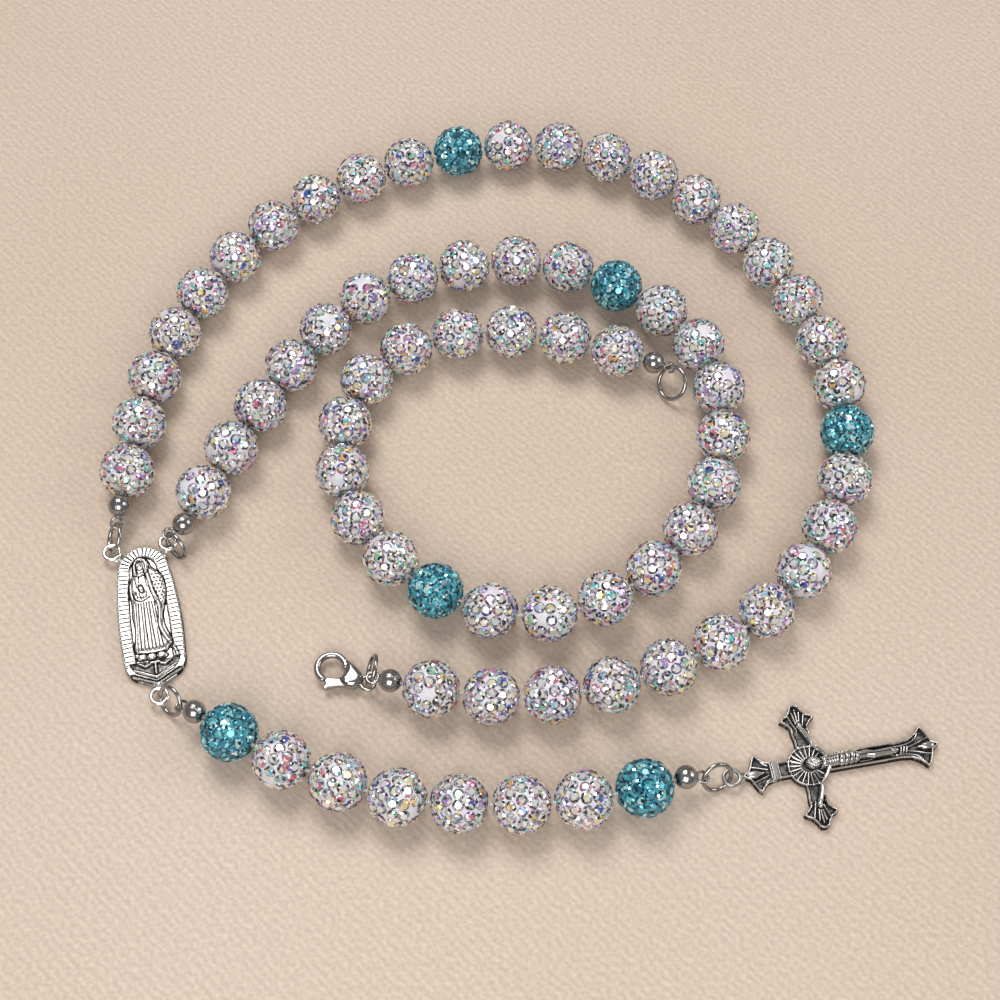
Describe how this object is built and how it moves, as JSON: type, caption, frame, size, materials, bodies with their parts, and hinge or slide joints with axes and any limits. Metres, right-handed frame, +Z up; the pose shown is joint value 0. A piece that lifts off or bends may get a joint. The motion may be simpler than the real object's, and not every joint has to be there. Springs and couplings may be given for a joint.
{
  "type": "rosary",
  "caption": "Beaded rosary laid flat: crystal-set ball beads on two strands from a centre medal, with a lobster clasp, an end ring and a pendant crucifix.",
  "frame": {"origin": "centre of the centre medal's flat back, on the table", "axes": "+Z up from the table; +X to the right and +Y away along the table as the rosary is laid out"},
  "size_m": [0.1454, 0.1472, 0.0099],
  "materials": {
    "crystal_white_bead": "pale clay set with clear faceted glass crystals that flash colours",
    "crystal_teal_bead": "teal clay set with teal faceted glass crystals",
    "cord": "thin nylon beading cord",
    "bright_silver": "bright antique silver with dark lines in the recesses",
    "antique_silver": "dark antique silver with polished high points",
    "dark_steel": "polished gunmetal steel"
  },
  "bodies": {
    "medal": {"medal": "bright_silver"},
    "outer_ring": {"ring_outer": "dark_steel"},
    "decade_1": {"bead_tip_outer": "dark_steel", "crimp_outer": "dark_steel", "strand_decade_1": "cord", "beads_decade_1": "crystal_white_bead"},
    "decade_2": {"strand_decade_2": "cord", "beads_decade_2": "crystal_white_bead"},
    "decade_3": {"strand_decade_3": "cord", "beads_decade_3": "crystal_white_bead", "crimp_clasp": "dark_steel", "bead_tip_clasp": "dark_steel"},
    "clasp_ring": {"ring_clasp": "dark_steel"},
    "clasp": {"clasp_body": "dark_steel", "clasp_pin": "dark_steel", "clasp_spring": "dark_steel"},
    "lever": {"clasp_lever": "dark_steel"},
    "inner_ring": {"ring_inner": "dark_steel"},
    "decade_4": {"bead_tip_inner": "dark_steel", "crimp_inner": "dark_steel", "strand_decade_4": "cord", "beads_decade_4": "crystal_white_bead"},
    "decade_5": {"strand_decade_5": "cord", "beads_decade_5": "crystal_white_bead"},
    "decade_6": {"strand_decade_6": "cord", "beads_decade_6": "crystal_white_bead", "crimp_end": "dark_steel", "bead_tip_end": "dark_steel"},
    "end_ring": {"ring_end": "dark_steel"},
    "pendant_ring": {"ring_pendant": "dark_steel"},
    "pendant": {"bead_tip_pendant": "dark_steel", "crimp_pendant": "dark_steel", "strand_pendant": "cord", "crimp_crucifix": "dark_steel", "bead_tip_crucifix": "dark_steel"},
    "crucifix_ring": {"ring_crucifix": "dark_steel"},
    "crucifix": {"crucifix": "antique_silver"},
    "teal_bead_1": {"teal_bead_1": "crystal_teal_bead"},
    "teal_bead_2": {"teal_bead_2": "crystal_teal_bead"},
    "teal_bead_3": {"teal_bead_3": "crystal_teal_bead"},
    "teal_bead_4": {"teal_bead_4": "crystal_teal_bead"},
    "teal_bead_5": {"teal_bead_5": "crystal_teal_bead"},
    "teal_bead_6": {"teal_bead_6": "crystal_teal_bead"},
    "pendant_bead_1": {"pendant_bead_1": "crystal_white_bead"},
    "pendant_bead_2": {"pendant_bead_2": "crystal_white_bead"},
    "pendant_bead_3": {"pendant_bead_3": "crystal_white_bead"},
    "pendant_bead_4": {"pendant_bead_4": "crystal_white_bead"},
    "pendant_bead_5": {"pendant_bead_5": "crystal_white_bead"},
    "pendant_bead_6": {"pendant_bead_6": "crystal_white_bead"}
  },
  "joints": [
    {"name": "outer_ring_turn", "type": "hinge", "parent": "medal", "child": "outer_ring", "pos_m": [-0.00761, 0.01198, 0.0017], "axis": [0, 0, 1], "range_deg": [-4, 3]},
    {"name": "decade_1_lift", "type": "hinge", "parent": "outer_ring", "child": "decade_1", "pos_m": [-0.00691, 0.01687, 0.00376], "axis": [0.4695, -0.8829, 0], "range_deg": [0, 12]},
    {"name": "decade_2_flex", "type": "hinge", "parent": "decade_1", "child": "decade_2", "pos_m": [0.05267, 0.10022, 0.00495], "axis": [-0.7373, -0.6756, 0], "range_deg": [0, 40]},
    {"name": "decade_3_flex", "type": "hinge", "parent": "decade_2", "child": "decade_3", "pos_m": [0.124, 0.035, 0.00495], "axis": [-0.7986, 0.6018, 0], "range_deg": [0, 40]},
    {"name": "clasp_ring_turn", "type": "hinge", "parent": "decade_3", "child": "clasp_ring", "pos_m": [0.03951, -0.01319, 0.00454], "axis": [0, 0, 1], "range_deg": [-20, 20]},
    {"name": "clasp_lift", "type": "hinge", "parent": "clasp_ring", "child": "clasp", "pos_m": [0.0385, -0.01295, 0.0016], "axis": [0.3746, 0.9272, 0], "range_deg": [0, 45]},
    {"name": "lever_press", "type": "hinge", "parent": "clasp", "child": "lever", "pos_m": [0.03506, -0.01291, 0.0016], "axis": [0, 0, -1], "range_deg": [0, 15], "stiffness_Nm_per_rad": 0.002, "springref_deg": -17.19},
    {"name": "inner_ring_turn", "type": "hinge", "parent": "medal", "child": "inner_ring", "pos_m": [0.00208, 0.01404, 0.0017], "axis": [0, 0, 1], "range_deg": [-3, 3]},
    {"name": "decade_4_lift", "type": "hinge", "parent": "inner_ring", "child": "decade_4", "pos_m": [0.00262, 0.01438, 0.00441], "axis": [0.6428, -0.766, 0], "range_deg": [0, 6]},
    {"name": "decade_5_flex", "type": "hinge", "parent": "decade_4", "child": "decade_5", "pos_m": [0.08314, 0.06745, 0.00495], "axis": [-0.9962, 0.0872, 0], "range_deg": [0, 40]},
    {"name": "decade_6_flex", "type": "hinge", "parent": "decade_5", "child": "decade_6", "pos_m": [0.04983, 0.003, 0.00495], "axis": [0.9986, 0.0523, 0], "range_deg": [0, 40]},
    {"name": "end_ring_swing", "type": "hinge", "parent": "decade_6", "child": "end_ring", "pos_m": [0.09246, 0.04941, 0.00426], "axis": [-0.9877, -0.1564, 0], "range_deg": [0, 50]},
    {"name": "pendant_ring_turn", "type": "hinge", "parent": "medal", "child": "pendant_ring", "pos_m": [0.00326, -0.01536, 0.0017], "axis": [0, 0, 1], "range_deg": [-40, 3]},
    {"name": "pendant_lift", "type": "hinge", "parent": "pendant_ring", "child": "pendant", "pos_m": [0.00541, -0.01668, 0.00274], "axis": [-0.6149, -0.5835, 0.5305], "range_deg": [0, 35]},
    {"name": "crucifix_ring_turn", "type": "hinge", "parent": "pendant", "child": "crucifix_ring", "pos_m": [0.09434, -0.0306, 0.00378], "axis": [0, 0, 1], "range_deg": [-20, 20]},
    {"name": "crucifix_lift", "type": "hinge", "parent": "crucifix_ring", "child": "crucifix", "pos_m": [0.09687, -0.03025, 0.00274], "axis": [0.328, -0.7812, 0.5312], "range_deg": [0, 45]},
    {"name": "teal_bead_1_spin", "type": "hinge", "parent": "decade_1", "child": "teal_bead_1", "pos_m": [0.05267, 0.10022, 0.00495], "axis": [0.9667, 0.2559, 0], "continuous": true},
    {"name": "teal_bead_2_spin", "type": "hinge", "parent": "decade_2", "child": "teal_bead_2", "pos_m": [0.124, 0.035, 0.00495], "axis": [0.0014, -1, 0], "continuous": true},
    {"name": "teal_bead_3_spin", "type": "hinge", "parent": "decade_4", "child": "teal_bead_3", "pos_m": [0.08314, 0.06745, 0.00495], "axis": [0.8716, -0.4903, 0], "continuous": true},
    {"name": "teal_bead_4_spin", "type": "hinge", "parent": "decade_5", "child": "teal_bead_4", "pos_m": [0.04983, 0.003, 0.00495], "axis": [-0.8692, 0.4944, 0], "continuous": true},
    {"name": "teal_bead_5_spin", "type": "hinge", "parent": "pendant", "child": "teal_bead_5", "pos_m": [0.01608, -0.02317, 0.00495], "axis": [0.858, -0.5137, 0], "continuous": true},
    {"name": "teal_bead_6_spin", "type": "hinge", "parent": "pendant", "child": "teal_bead_6", "pos_m": [0.08465, -0.03287, 0.00495], "axis": [0.9679, 0.2515, 0], "continuous": true},
    {"name": "pendant_bead_1_spin", "type": "hinge", "parent": "pendant", "child": "pendant_bead_1", "pos_m": [0.02502, -0.028, 0.00495], "axis": [0.9059, -0.4234, 0], "continuous": true},
    {"name": "pendant_bead_2_spin", "type": "hinge", "parent": "pendant", "child": "pendant_bead_2", "pos_m": [0.03446, -0.0318, 0.00495], "axis": [0.9448, -0.3277, 0], "continuous": true},
    {"name": "pendant_bead_3_spin", "type": "hinge", "parent": "pendant", "child": "pendant_bead_3", "pos_m": [0.04426, -0.03444, 0.00495], "axis": [0.9834, -0.1813, 0], "continuous": true},
    {"name": "pendant_bead_4_spin", "type": "hinge", "parent": "pendant", "child": "pendant_bead_4", "pos_m": [0.05437, -0.03554, 0.00495], "axis": [0.9988, -0.0494, 0], "continuous": true},
    {"name": "pendant_bead_5_spin", "type": "hinge", "parent": "pendant", "child": "pendant_bead_5", "pos_m": [0.06454, -0.03563, 0.00495], "axis": [0.9993, 0.0371, 0], "continuous": true},
    {"name": "pendant_bead_6_spin", "type": "hinge", "parent": "pendant", "child": "pendant_bead_6", "pos_m": [0.07468, -0.03482, 0.00495], "axis": [0.9921, 0.1255, 0], "continuous": true}
  ]
}
